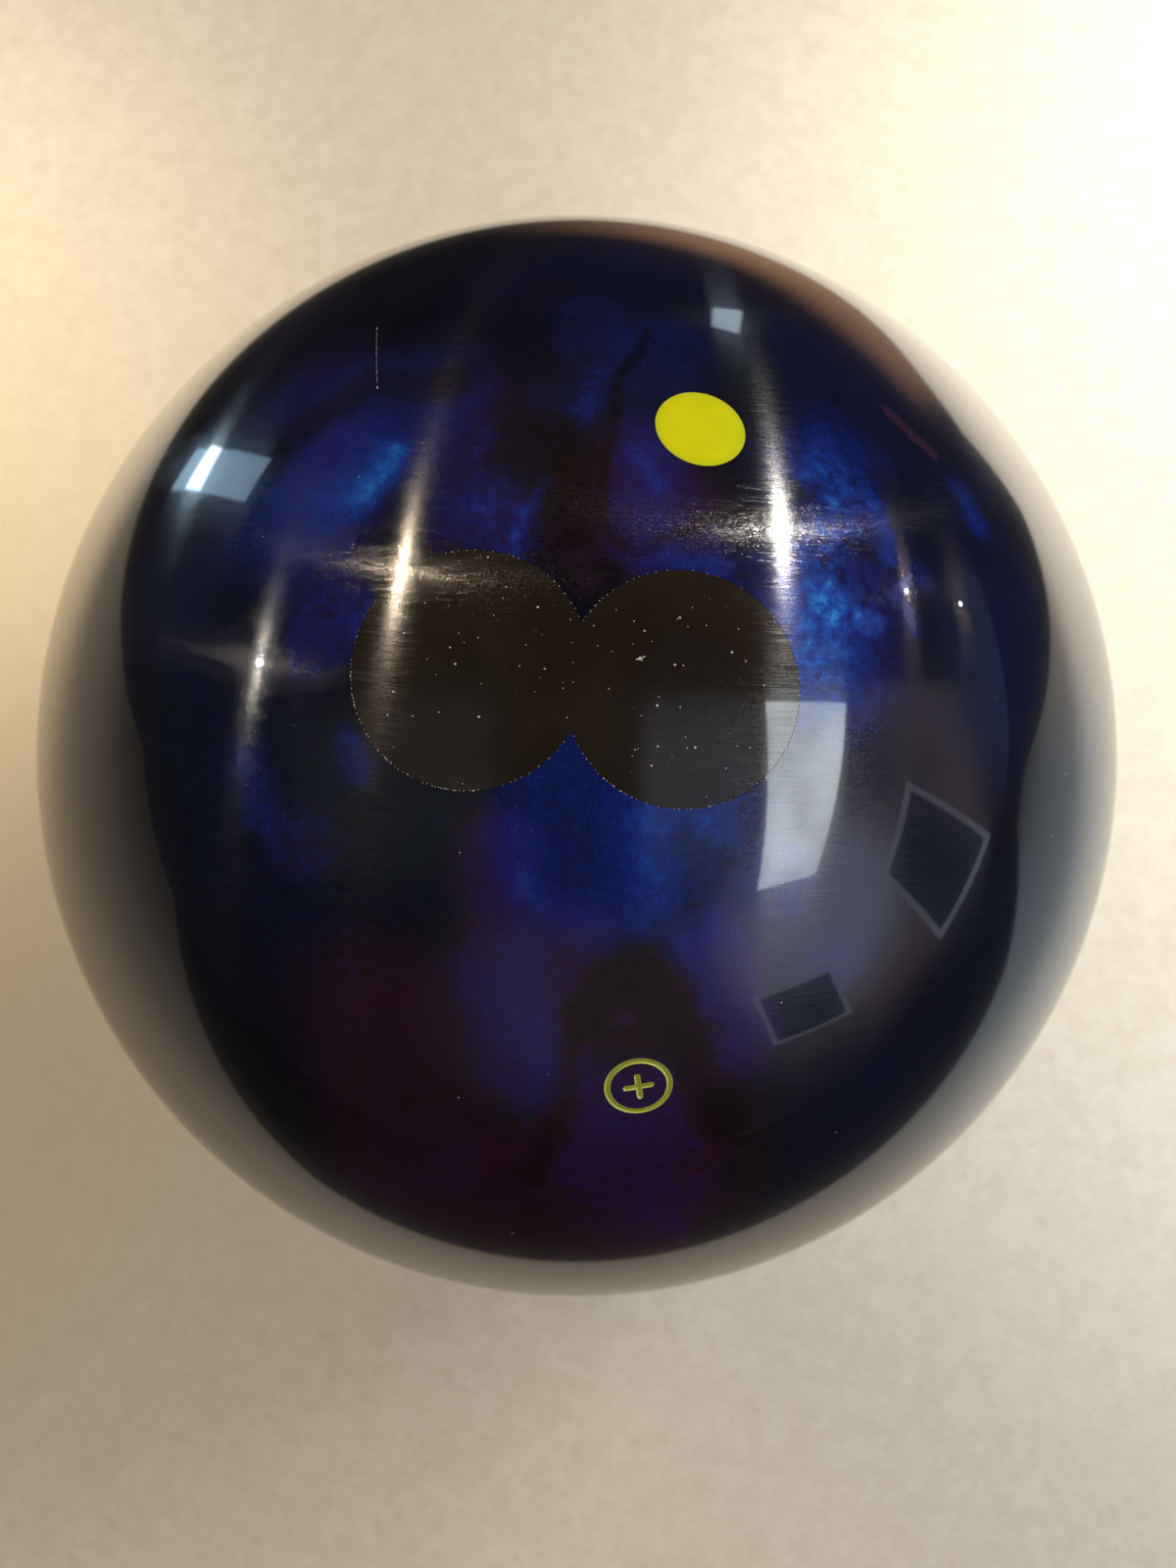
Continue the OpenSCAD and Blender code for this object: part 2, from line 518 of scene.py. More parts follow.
def scratch():
    """A thin line on the cover with a wider grain at each end."""
    parts = []
    for k in range(9):
        share = k / 8
        length, width = (1.9, 0.032) if 0 < k < 8 else (0.5, 0.16)
        point = (SCRATCH_TOP * (1 - share) + SCRATCH_FOOT * share).normalized() * BALL_R
        parts.append(lump(point, SCRATCH_FOOT - SCRATCH_TOP, length * MM, width * MM,
                          height=0.008 * MM, seed=k))
    return parts


def dust():
    parts = []
    rng = random.Random(77)
    for _ in range(DUST_COUNT):
        place = Vector((rng.gauss(0, 1), rng.gauss(0, 1), rng.gauss(0, 1))).normalized()
        if any(np.array(place, float) @ hole.axis > limit for hole, limit in DUST_FREE):
            continue
        size = rng.choice(DUST_SIZES) * MM
        parts.append(lump(place * BALL_R, (0, 1, 0.2), length=size * rng.uniform(1, 1.6),
                          width=size, height=0.01 * MM, seed=rng.random()))
    return parts


def build_residue():
    """White polish packed in the joints and pinholes, and a few nicks in the cover."""
    parts = []
    for joint in JOINTS:
        parts += joint_dashes(*joint)
    for group in PINHOLES:
        parts += pinholes(*group)
    parts += scuff() + scratch() + dust()
    residue = solid_object("polish_residue", *join_data(parts))
    residue.data.shade_smooth()
    return residue


cover = build_cover()
right_plug = build_plug("right_plug", RIGHT)
left_plug = build_plug("left_plug", LEFT, overlapping=RIGHT)
thumb_plug = build_plug("thumb_hole_plug", THUMB)
pin_rod = build_plug("pin_rod", PIN)
mark_ring, mark_cross = build_mark()
residue = build_residue()

for piece, node_name, slot in ((cover, "coverstock", "cover_resin"),
                               (left_plug, "finger_plug_left", "plug_resin"),
                               (right_plug, "finger_plug_right", "plug_resin"),
                               (thumb_plug, "thumb_plug", "plug_resin"),
                               (pin_rod, "locator_pin", "pin_resin"),
                               (mark_ring, "cg_mark_ring", "mark_paint"),
                               (mark_cross, "cg_mark_cross", "mark_paint")):
    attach(piece, "root")
    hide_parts(node_name)
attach(residue, "root")


# ---------------------------------------------------------------- shader helpers
# Nodes are made in the tree that start_tree opened last.
tree = None


def start_tree(name, world=False):
    """A new material or world with an empty node tree."""
    global tree
    owner = (bpy.data.worlds if world else bpy.data.materials).new(name)
    owner.use_nodes = True
    tree = owner.node_tree
    tree.nodes.clear()
    return owner


class Value:
    """A node's output. Sums written with it become math nodes; a vector * number scales it."""

    def __init__(self, socket):
        self.socket = socket
        self.is_vector = socket.type != "VALUE"

    def combine(self, operation, *terms):
        return (vector_math if self.is_vector else calculate)(operation, *terms)

    def __add__(self, other):
        return self.combine("ADD", self, other)

    def __radd__(self, other):
        return self.combine("ADD", other, self)

    def __sub__(self, other):
        return self.combine("SUBTRACT", self, other)

    def __rsub__(self, other):
        return self.combine("SUBTRACT", other, self)

    def __mul__(self, other):
        return scaled(self, other) if self.is_vector else calculate("MULTIPLY", self, other)

    def __abs__(self):
        return calculate("ABSOLUTE", self)


def add_node(kind, inputs=None, **settings):
    """A node with its settings, and inputs (by name or index) set to numbers or linked."""
    made = tree.nodes.new(kind)
    for key, setting in settings.items():
        setattr(made, key, setting)
    for key, value in (inputs or {}).items():
        if isinstance(value, Value):
            tree.links.new(value.socket, made.inputs[key])
        else:
            made.inputs[key].default_value = value
    return made


def output_of(made, key=0):
    return Value(made.outputs[key])


def calculate(operation, *terms, clamp=False):
    return output_of(add_node("ShaderNodeMath", dict(enumerate(terms)),
                              operation=operation, use_clamp=clamp))


def vector_math(operation, *terms):
    made = add_node("ShaderNodeVectorMath", dict(enumerate(terms)), operation=operation)
    return output_of(made, "Value" if operation in ("DOT_PRODUCT", "LENGTH", "DISTANCE")
                     else "Vector")


def scaled(vector, factor):
    return output_of(add_node("ShaderNodeVectorMath", {0: vector, "Scale": factor},
                              operation="SCALE"), "Vector")


def inverse(value):
    return calculate("SUBTRACT", 1.0, value, clamp=True)


def unit(vector):
    return vector_math("NORMALIZE", vector)


def dot(a, b):
    return vector_math("DOT_PRODUCT", a, b)


def smooth(value, start, end, result=(0.0, 1.0)):
    """An S-curve from the first result, where value is start, to the second, at end."""
    return output_of(add_node("ShaderNodeMapRange", {
        "Value": value, "From Min": start, "From Max": end,
        "To Min": result[0], "To Max": result[1]}, interpolation_type="SMOOTHSTEP"), "Result")


def noise(place, scale, detail=3.0, rough=0.5, output="Fac"):
    return output_of(add_node("ShaderNodeTexNoise", {
        "Vector": place, "Scale": scale, "Detail": detail, "Roughness": rough}), output)


def voronoi(place, scale):
    """Distance to the nearest cell's centre, and that cell's random colour."""
    cells = add_node("ShaderNodeTexVoronoi", {"Vector": place, "Scale": scale})
    return output_of(cells, "Distance"), output_of(cells, "Color")


def split_color(color):
    """Outputs: red, green, blue."""
    return add_node("ShaderNodeSeparateColor", {0: color})


def mix(factor, color_a, color_b):
    """Colour a where the factor is 0, colour b where it is 1."""
    return output_of(add_node("ShaderNodeMix", {0: factor, 6: color_a, 7: color_b},
                              data_type="RGBA"), 2)


def blend(factor, zero, one):
    """A number that is `zero` where the factor is 0, `one` where it is 1."""
    return output_of(add_node("ShaderNodeMix", {0: factor, 2: zero, 3: one},
                              data_type="FLOAT"), 0)


def rgb(*levels):
    """Linear colour from sRGB levels of 0 to 255."""
    return tuple((v / 255 / 12.92 if v <= 10.3 else ((v / 255 + 0.055) / 1.055) ** 2.4)
                 for v in levels) + (1.0,)


def ramp(factor, stops):
    made = add_node("ShaderNodeValToRGB", {0: factor})
    elements = made.color_ramp.elements
    for element, (position, levels) in zip(elements, (stops[0], stops[-1])):
        element.position, element.color = position, rgb(*levels)
    for position, levels in stops[1:-1]:
        elements.new(position).color = rgb(*levels)
    return output_of(made)


def object_place():
    """The point's place in the piece's own frame, metres."""
    return output_of(add_node("ShaderNodeTexCoord"), "Object")


def wobble(place, scale, amount, detail=2.0, offset=(0, 0, 0)):
    """A random vector field of size amount."""
    color = noise(place + offset, scale, detail, rough=0.5, output="Color")
    return (color - (0.5, 0.5, 0.5)) * (amount * 2)


def blob(direction, centre, inner, outer):
    """1 within inner degrees of a direction, 0 beyond outer degrees."""
    cosine = dot(direction, tuple(Vector(centre).normalized()))
    return smooth(cosine, math.cos(math.radians(outer)), math.cos(math.radians(inner)))


def stroke(direction, points, inner, outer):
    """1 along a chain of directions, fading from inner to outer degrees either side."""
    nearest = None
    points = [Vector(point).normalized() for point in points]
    for start, end in zip(points, points[1:]):
        leg = end - start
        offset = vector_math("SUBTRACT", direction, tuple(start))
        share = calculate("MULTIPLY", dot(offset, tuple(leg)), 1 / leg.length_squared, clamp=True)
        distance = vector_math("DISTANCE", offset, scaled(tuple(leg), share))
        nearest = distance if nearest is None else calculate("MINIMUM", nearest, distance)
    return smooth(nearest, math.radians(outer), math.radians(inner))


def bump(height, strength, distance):
    return output_of(add_node("ShaderNodeBump", {
        "Height": height, "Strength": strength, "Distance": distance}), "Normal")


def principled(**inputs):
    return output_of(add_node("ShaderNodeBsdfPrincipled", {
        name.replace("_", " "): value for name, value in inputs.items()}))


def emission(color, strength):
    return output_of(add_node("ShaderNodeEmission", {"Color": color, "Strength": strength}))


def mix_shaders(factor, shader_a, shader_b):
    return output_of(add_node("ShaderNodeMixShader", {0: factor, 1: shader_a, 2: shader_b}))


def show(shader, kind="Material"):
    add_node("ShaderNodeOutput" + kind, {"Surface": shader})


# ---------------------------------------------------------------- polished finish
# the polisher spun the ball about this axis; the other two are square to it
SPIN = Vector((0.07, 0.94, 0.342)).normalized()
SPIN_SIDE = Vector((0.94, -0.07, 0.0)).normalized()
SPIN_FRONT = SPIN_SIDE.cross(SPIN)

ARC_TURNS = ((15, 8), (52, -14), (88, 21), (121, -9), (158, 16))     # yaw and tilt, degrees
ARC_STRETCH = (14.0, 760.0, 14.0)                                    # noise scale on each axis
HAIRS_ROUND, HAIRS_ALONG = 16.0, 1150.0          # noise cells per radian about and along SPIN


def hair_lines(u):
    """Fine scratches in circles about the spin axis."""
    turn = calculate("ARCTAN2", dot(u, tuple(SPIN_SIDE)), dot(u, tuple(SPIN_FRONT)))
    rise = calculate("ARCSINE", dot(u, tuple(SPIN)))
    place = output_of(add_node("ShaderNodeCombineXYZ",
                               {0: turn * HAIRS_ROUND, 1: rise * HAIRS_ALONG}))
    return smooth(noise(place, scale=1.0, detail=1.0, rough=0.6), start=0.25, end=0.75)


def arc_lines(u):
    """Finer scratches in five directions, which draw arcs round each highlight."""
    arcs = None
    for k, (yaw, tilt) in enumerate(ARC_TURNS):
        mapping = add_node("ShaderNodeMapping", {
            "Vector": u, "Rotation": (math.radians(tilt), 0, math.radians(yaw)),
            "Scale": ARC_STRETCH, "Location": (3.7 * k, 1.3 * k, 0.9 * k)})
        lines = smooth(noise(output_of(mapping), scale=1.0, detail=0.0, rough=0.5),
                       start=0.62, end=0.78)
        arcs = lines if arcs is None else arcs + lines
    return arcs


def scratch_tangent(u):
    """Mostly along a meridian, with grains turned a quarter: a highlight's short cross bar."""
    along = unit(vector_math("CROSS_PRODUCT", tuple(SPIN), u))       # along the hair lines
    across = vector_math("CROSS_PRODUCT", u, along)                  # along a meridian
    turned = calculate("GREATER_THAN", noise(u * 760.0, scale=1.0, detail=0.0, rough=0.5), 0.61)
    return output_of(add_node("ShaderNodeMix", {0: turned, 4: across, 5: along},
                              data_type="VECTOR"), 1)


def finish(u, rough=0.182, depth=0.26, arc_depth=0.0000015):
    """Polished resin: a film of fine scratches under a clear mirror coat.

    depth is how far the hair lines swing the specular level, arc_depth the arcs' height.
    """
    hair = hair_lines(u)
    return {
        "Roughness": calculate("MULTIPLY_ADD", hair, rough * 0.42, rough * 0.62),
        "Specular_IOR_Level": calculate("MULTIPLY_ADD", hair, depth, 0.5 - depth / 2),
        "Anisotropic": 1.0,
        "Tangent": scratch_tangent(u),
        "Normal": bump(arc_lines(u) * arc_depth, strength=1.0, distance=1.0),
        "Coat_Weight": 1.0,
        "Coat_Roughness": 0.016,
        "Coat_IOR": 1.5,
    }


# ---------------------------------------------------------------- cover material
# Zones that raise or lower the blue pearl. Columns: pearl added, grit in it, plum tint, and one
# or more zones whose greater mask counts. A zone is its field (soft is bent most by the swirl),
# full and outer half width in degrees, and a spot's direction or a stroke's chain of them.
PIN_OUTLINE = (-0.09, 0, 0, (
    "crisp", 0.0, 0.75, (0.098, 0.489, 0.867), (0.06, 0.405, 0.912), (0.048, 0.308, 0.95),
    (0.036, 0.246, 0.969), (0.037, 0.193, 0.981), (0.055, 0.169, 0.984), (0.075, 0.153, 0.985),
    (0.115, 0.176, 0.977), (0.189, 0.214, 0.958), (0.24, 0.22, 0.946)))
PEARL_ZONES = (
    # upper left: a lens of navy with a bright streak, a dark fold above, a fainter band beyond
    (0.26, 0, 0, ("soft", 1.0, 9.0, (-0.36, 0.233, 0.903), (-0.212, 0.393, 0.895))),
    (0.05, 0, 0.8, ("soft", 0.5, 5.0, (-0.334, 0.258, 0.906), (-0.299, 0.318, 0.9))),
    (0.15, 0, 0.3, ("soft", 0.8, 7.5, (-0.382, 0.407, 0.83), (-0.329, 0.448, 0.832))),
    (-0.16, 0, 0, ("soft", 0.2, 3.4, (-0.391, 0.33, 0.859), (-0.32, 0.386, 0.865),
                   (-0.262, 0.422, 0.868), (-0.161, 0.409, 0.898))),
    (0.24, 0.12, 0, ("crisp", 0.0, 2.3, (-0.231, 0.296, 0.926), (-0.242, 0.273, 0.931),
                     (-0.262, 0.243, 0.934))),
    (0.12, 0.06, 0, ("soft", 0.0, 5.0, (-0.235, 0.285, 0.93), (-0.283, 0.217, 0.934))),
    (0.10, 0.1, 0, ("crisp", 0.0, 1.3, (-0.108, 0.314, 0.943), (-0.120, 0.285, 0.951))),
    (0.12, 0, 0.4, ("soft", 0.5, 5.6, (-0.12, 0.36, 0.925), (-0.15, 0.24, 0.958))),
    (0.11, 0.12, 0.5, ("soft", 0.4, 5.0, (-0.145, 0.19, 0.97), (-0.089, 0.185, 0.979))),
    # above the grip: a round cell, a flame, the drop round the pin with its dark outline
    (0.09, 0, 0, ("crisp", 1.9, 3.4, (0.024, 0.458, 0.889), (0.024, 0.522, 0.853))),
    (0.07, 0, 0, ("soft", 2.0, 13.0, (0.03, 0.50, 0.86), (0.03, 0.62, 0.78))),
    (0.13, 0.08, 0, ("crisp", 0.0, 2.0, (0.034, 0.411, 0.911), (0.011, 0.355, 0.935))),
    (0.09, 0.1, 0, ("crisp", 0.0, 1.1, (0.011, 0.355, 0.935), (0.015, 0.32, 0.948))),
    (0.11, 0.06, 0, ("crisp", 0.4, 3.8, (-0.012, 0.372, 0.928))),
    (0.13, 0, 0, ("soft", 1.8, 5.6, (0.125, 0.455, 0.88), (0.094, 0.352, 0.931))),
    (0.15, 0.03, 0.75, ("crisp", 0.6, 5.2, (0.08, 0.279, 0.957), (0.067, 0.21, 0.975),
                        (0.079, 0.176, 0.982))),
    (0.12, 0.03, 0.7, ("crisp", 0.8, 5.0, (0.12, 0.245, 0.962), (0.139, 0.2, 0.97))),
    (0.13, 0.05, 0, ("crisp", 0.0, 1.1, (0.075, 0.293, 0.953), (0.108, 0.248, 0.963))),
    PIN_OUTLINE,
    (0.15, 0.1, 0, ("crisp", 0.0, 1.0, (-0.035, 0.249, 0.968), (-0.057, 0.205, 0.977),
                    (-0.067, 0.152, 0.986))),
    (0.11, 0.1, 0.3, ("soft", 0.4, 4.4, (-0.078, 0.165, 0.983), (-0.10, 0.20, 0.975))),
    (-0.08, 0, 0.6, ("crisp", 0.5, 3.0, (0.007, 0.263, 0.965), (-0.005, 0.158, 0.987),
                     (0.019, 0.12, 0.993))),
    (0.14, 0.08, 0, ("crisp", 0.0, 2.0, (0.084, 0.146, 0.986), (0.126, 0.143, 0.982),
                     (0.181, 0.137, 0.974))),
    (0.12, 0.08, 0, ("crisp", 0.0, 1.8, (0.002, 0.149, 0.989), (0.019, 0.108, 0.994))),
    (0.17, 0.12, 0, ("soft", 0.8, 5.5, (0.187, 0.122, 0.975), (0.262, 0.125, 0.958),
                     (0.272, 0.06, 0.96))),
    # right of the grip: the granular pearl patch with its hollows and dark specks
    (0.24, 0.14, 0, ("soft", 2.0, 8.5, (0.321, 0.282, 0.904), (0.332, 0.15, 0.93),
                     (0.305, 0.0, 0.953))),
    (0.14, 0.22, 0, ("crisp", 0.5, 3.2, (0.321, 0.278, 0.904)),
     ("crisp", 0.3, 3.8, (0.321, 0.282, 0.904), (0.356, 0.248, 0.901))),
    (0.08, 0.2, 0, ("crisp", 0.2, 3.0, (0.332, 0.208, 0.92))),
    (0.10, 0.26, 0, ("crisp", 0.2, 3.2, (0.311, 0.172, 0.935))),
    (0.10, 0.12, 0, ("crisp", 0.6, 3.0, (0.334, 0.111, 0.936))),
    (0.12, 0.10, 0, ("crisp", 0.8, 4.6, (0.302, 0.088, 0.949), (0.31, 0.045, 0.95),
                     (0.302, 0.0, 0.953))),
    (-0.08, 0.1, 0, ("crisp", 0.0, 1.8, (0.295, 0.248, 0.923))),
    (-0.12, 0.1, 0, ("crisp", 0.0, 1.1, (0.336, 0.19, 0.922), (0.379, 0.177, 0.908))),
    (-0.16, 0, 0, ("crisp", 0.1, 1.1, (0.316, 0.149, 0.937)),
     ("crisp", 0.1, 0.9, (0.336, 0.144, 0.931))),
    (0.20, 0.1, 0.6, ("crisp", 0.0, 1.7, (0.371, 0.083, 0.925))),
    (0.22, 0.1, 0, ("crisp", 0.0, 1.5, (0.401, 0.247, 0.882), (0.409, 0.176, 0.895))),
    (0.18, 0.1, 0, ("crisp", 0.0, 1.6, (0.423, 0.123, 0.898), (0.437, 0.077, 0.896))),
    (0.18, 0.1, 0, ("crisp", 0.1, 2.0, (0.449, 0.149, 0.881))),
    (0.22, 0.1, 0, ("crisp", 0.1, 2.4, (0.535, 0.30, 0.79), (0.562, 0.248, 0.789))),
    # below the grip: a deep blue lobe under the crotch of the plugs, a royal lobe to its right
    (0.245, 0.04, 0, ("soft", 2.2, 5.4, (-0.022, -0.10, 0.99), (-0.022, -0.225, 0.97)),
     ("soft", 2.6, 6.6, (0.035, -0.06, 0.99), (0.035, -0.25, 0.965))),
    (0.22, 0.12, 0, ("soft", 1.4, 6.2, (0.125, -0.176, 0.975), (0.138, -0.27, 0.95))),
    (0.20, 0.12, 0, ("soft", 1.4, 5.0, (0.20, -0.15, 0.968))),
    (0.22, 0.16, 0, ("soft", 0.6, 4.2, (0.255, -0.25, 0.934))),
    (0.18, 0.2, 0, ("soft", 0.3, 3.4, (0.33, -0.34, 0.88))),
    # broad faint veils on the right and over the top
    (0.09, 0, 0, ("soft", 4.0, 17.0, (0.50, 0.42, 0.76), (0.56, 0.26, 0.79),
                  (0.50, 0.05, 0.865))),
    (0.03, 0, 0, ("soft", 3.0, 15.0, (-0.55, 0.28, 0.79), (-0.30, 0.56, 0.77),
                  (0.15, 0.62, 0.77), (0.36, 0.50, 0.79))),
    # purple-blue curtain, the dark arch over the mark, plum at the foot
    (0.10, 0.03, 0.85, ("soft", 1.2, 5.0, (-0.092, -0.20, 0.97), (-0.094, -0.365, 0.926),
                        (-0.078, -0.493, 0.866))),
    (0.09, 0.03, 0.9, ("soft", 1.2, 6.4, (-0.029, -0.33, 0.94), (-0.022, -0.45, 0.89))),
    (0.18, 0.04, 0.85, ("soft", 1.0, 5.4, (0.185, -0.34, 0.914), (0.20, -0.46, 0.869))),
    (0.10, 0.06, 0.2, ("soft", 0.3, 2.8, (0.128, -0.33, 0.93), (0.15, -0.40, 0.90))),
    (-0.15, 0, 0.8, ("crisp", 0.2, 3.0, (0.019, -0.414, 0.91), (0.055, -0.369, 0.93),
                     (0.091, -0.355, 0.934), (0.128, -0.387, 0.917), (0.162, -0.478, 0.869),
                     (0.2, -0.568, 0.798))),
    (-0.05, 0, 0.8, ("soft", 1.6, 5.2, (0.078, -0.425, 0.901))),
    (0.12, 0.1, 0, ("crisp", 0.1, 1.8, (0.059, -0.405, 0.91))),
    (-0.08, 0, 0.6, ("crisp", 0.1, 1.8, (0.007, -0.401, 0.916), (-0.019, -0.533, 0.846),
                     (-0.056, -0.642, 0.765))),
    (0.06, 0.02, 1.0, ("soft", 4.0, 10.5, (0.068, -0.592, 0.803), (0.09, -0.70, 0.70))),
    (0.03, 0, 1.0, ("soft", 3.0, 12.0, (-0.235, -0.44, 0.87), (-0.21, -0.647, 0.733),
                    (-0.106, -0.712, 0.686), (0.10, -0.72, 0.69))),
    (0.012, 0.02, 1.0, ("crisp", 7.0, 9.5, (0.071, -0.6, 0.797), (0.019, -0.68, 0.733),
                        (-0.061, -0.663, 0.746))),
    (-0.07, 0, 0.7, ("crisp", 0.6, 3.2, (0.222, -0.54, 0.812), (0.245, -0.632, 0.735),
                     (0.225, -0.727, 0.649))),
    # scattered dim blues on the left flank
    (0.22, 0.1, 0, ("crisp", 0.1, 2.4, (-0.274, -0.075, 0.958), (-0.261, -0.114, 0.958))),
    (0.20, 0.1, 0, ("crisp", 0.2, 3.0, (-0.415, -0.09, 0.903), (-0.395, -0.159, 0.905))),
    (0.085, 0.1, 0.3, ("crisp", 0.4, 4.2, (-0.334, -0.196, 0.922))),
    (0.15, 0.1, 0.5, ("soft", 0.5, 4.6, (-0.296, 0.075, 0.953))),
    (0.12, 0.1, 0, ("crisp", 0.2, 2.4, (-0.255, 0.088, 0.962))),
    (0.06, 0.04, 0, ("soft", 3.0, 12.0, (-0.471, 0.085, 0.878), (-0.408, -0.085, 0.909),
                     (-0.352, -0.282, 0.893))),
    (0.07, 0.06, 0.3, ("soft", 1.5, 6.0, (-0.309, 0.07, 0.949), (-0.296, 0.198, 0.934))),
)

# colours by the amount of pearl, from clear dark resin to the brightest streaks
BLUE_STOPS = (
    (0.0, (2, 4, 8)), (0.22, (4, 7, 14)), (0.32, (7, 12, 30)), (0.42, (9, 17, 52)),
    (0.52, (11, 24, 84)), (0.64, (14, 38, 122)), (0.76, (16, 58, 156)), (0.88, (18, 86, 188)),
    (1.0, (42, 130, 224)))
PLUM_STOPS = (
    (0.0, (12, 4, 8)), (0.24, (24, 7, 14)), (0.34, (38, 11, 32)), (0.44, (36, 19, 78)),
    (0.60, (32, 30, 112)), (0.80, (34, 66, 164)), (1.0, (60, 120, 216)))


def zone_mask(field, inner, outer, points):
    if len(points) == 1:
        return blob(field, points[0], inner, outer)
    return stroke(field, points, inner, outer)


def pearl_zones(pearl, plum, grit, fields):
    """Add every zone to the pearl and plum. Also returns the mask of the pin's outline.

    Each zone's field leans, by nothing visible, on the sum so far, so that the renderer takes
    the zones one after another and never has to hold them all at once.
    """
    so_far = None
    for row in PEARL_ZONES:
        amount, grain, tint, *zones = row
        mask = None
        for field_name, inner, outer, *points in zones:
            field = fields[field_name]
            if so_far is not None:
                field = vector_math("MULTIPLY_ADD", so_far, (1e-7, 1e-7, 1e-7), field)
            zone = zone_mask(field, inner, outer, points)
            mask = zone if mask is None else calculate("MAXIMUM", mask, zone)
        pearl = pearl + mask * (grit * (grain * 2) + amount if grain else amount)
        if tint:
            plum = calculate("MAXIMUM", plum, mask * tint)
        so_far = pearl
        if row is PIN_OUTLINE:
            outline = mask
    return pearl, plum, outline


def cover_material():
    material = start_tree("pearl_resin")
    u = unit(object_place())
    # the pour: scales of swirl, each bending the next
    broad = wobble(u, scale=1.3, amount=0.34, detail=2.0, offset=(4.2, 1.1, 7.7))
    medium = wobble(u + broad, scale=3.4, amount=0.15, detail=3.0, offset=(1.9, 8.3, 2.2))
    fine = wobble(u + medium, scale=12.0, amount=0.030, detail=4.0, offset=(6.6, 2.0, 5.1))
    swirl = (u + broad) + (medium + fine)
    fields = {"soft": unit(u + (medium * 0.26 + fine * 0.8)),
              "crisp": unit(u + (medium * 0.06 + fine * 0.5))}

    folds = noise(swirl + (2.0, 5.0, 1.0), scale=3.4, detail=5.0, rough=0.55)
    violet = noise(swirl + (9.0, 3.0, 4.0), scale=1.5, detail=3.0, rough=0.5)
    grit = noise(u * 64.0, scale=1.0, detail=4.0, rough=0.62) - 0.5
    wisps = abs(noise(swirl + (0.0, 4.0, 8.0), scale=5.2, detail=4.0, rough=0.55) - 0.5)
    # where the grip side's own swirls take over
    front = blob(u, (0.0, -0.05, 1.0), inner=50, outer=70)

    # the amount of blue pearl: 0 is the clear dark resin, 1 the brightest streaks
    pearl = blend(front, zero=0.34, one=0.29) + (folds - 0.5) * blend(front, zero=2.0, one=0.28)
    plum = smooth(violet, start=0.50, end=0.66) * blend(front, zero=0.85, one=0.15)
    pearl, plum, outline = pearl_zones(pearl, plum, grit, fields)

    # filaments: fine bright threads inside blue, fine dark ones between
    in_blue = smooth(pearl, start=0.36, end=0.55)
    bright = smooth(wisps, start=0.034, end=0.0)
    dark = smooth(abs(folds - 0.47), start=0.014, end=0.0)
    pearl = pearl + bright * in_blue * blend(front, zero=0.06, one=0.012)
    pearl = pearl + dark * blend(front, zero=-0.14, one=-0.02)
    pearl = pearl + grit * 0.06

    color = mix(plum, ramp(pearl, BLUE_STOPS), ramp(pearl, PLUM_STOPS))
    # a thin plum line at the upper right
    line = stroke(fields["crisp"], [(0.432, 0.403, 0.807), (0.495, 0.344, 0.798)],
                  inner=0.1, outer=0.9)
    color = mix(line * 0.5, color, rgb(70, 40, 64))
    color = mix(outline * 0.22, color, rgb(5, 9, 16))

    # pearl flakes: pale ones painted as glints that catch the light, and dark ones where it is
    # blue
    flake_distance, flake_color = voronoi(u, scale=620.0)
    random_parts = split_color(flake_color)
    blue = smooth(pearl, start=0.34, end=0.74)
    painted_flake_glint = (smooth(output_of(random_parts, 0), start=0.86, end=1.0)
             * smooth(flake_distance, start=0.6, end=0.1))
    color = mix(painted_flake_glint * (0.09 + blue * 0.24), color, rgb(84, 144, 230))
    dull = smooth(output_of(random_parts, 1), start=0.66, end=1.0)
    color = mix(dull * blue * 0.30, color, rgb(8, 14, 48))

    show(principled(Base_Color=color, IOR=1.50, Metallic=blue * 0.10, **finish(u)))
    return material


# ---------------------------------------------------------------- other materials
def plug_material():
    """Dark brown resin with sparse pale specks."""
    material = start_tree("plug_resin")
    place = object_place()
    u = unit(place)
    haze = noise(place + (0.5, 0.2, 0.9), scale=60.0, detail=4.0, rough=0.6)
    color = mix(smooth(haze, start=0.35, end=0.7), rgb(31, 25, 19), rgb(39, 33, 27))
    distance, cell_color = voronoi(u, scale=300.0)
    speck = (smooth(output_of(split_color(cell_color)), start=0.985, end=1.0)
             * smooth(distance, start=0.35, end=0.1))
    color = mix(speck * 0.7, color, rgb(110, 100, 90))
    show(principled(Base_Color=color, IOR=1.54, **finish(u, rough=0.18, depth=0.40)))
    return material


def pin_material():
    """Clouded yellow resin, greener at the rim."""
    material = start_tree("pin_resin")
    place = object_place()
    u = unit(place)
    edge = calculate("ARCCOSINE", dot(u, tuple(PIN.axis)))
    pin_angle = math.asin(PIN.radius / BALL_R)
    rim = smooth(edge, start=pin_angle * 0.80, end=pin_angle * 1.02)
    cloud = noise(place, scale=180.0, detail=3.0, rough=0.5)
    color = mix(smooth(cloud, start=0.3, end=0.7), rgb(222, 222, 10), rgb(214, 217, 16))
    color = mix(rim * 0.7, color, rgb(190, 206, 30))
    show(principled(Base_Color=color, IOR=1.5, Subsurface_Weight=0.08,
                    Subsurface_Radius=(0.0006, 0.0005, 0.0001), Subsurface_Scale=1.0,
                    **finish(u, rough=0.20, depth=0.1, arc_depth=0.0000006)))
    return material


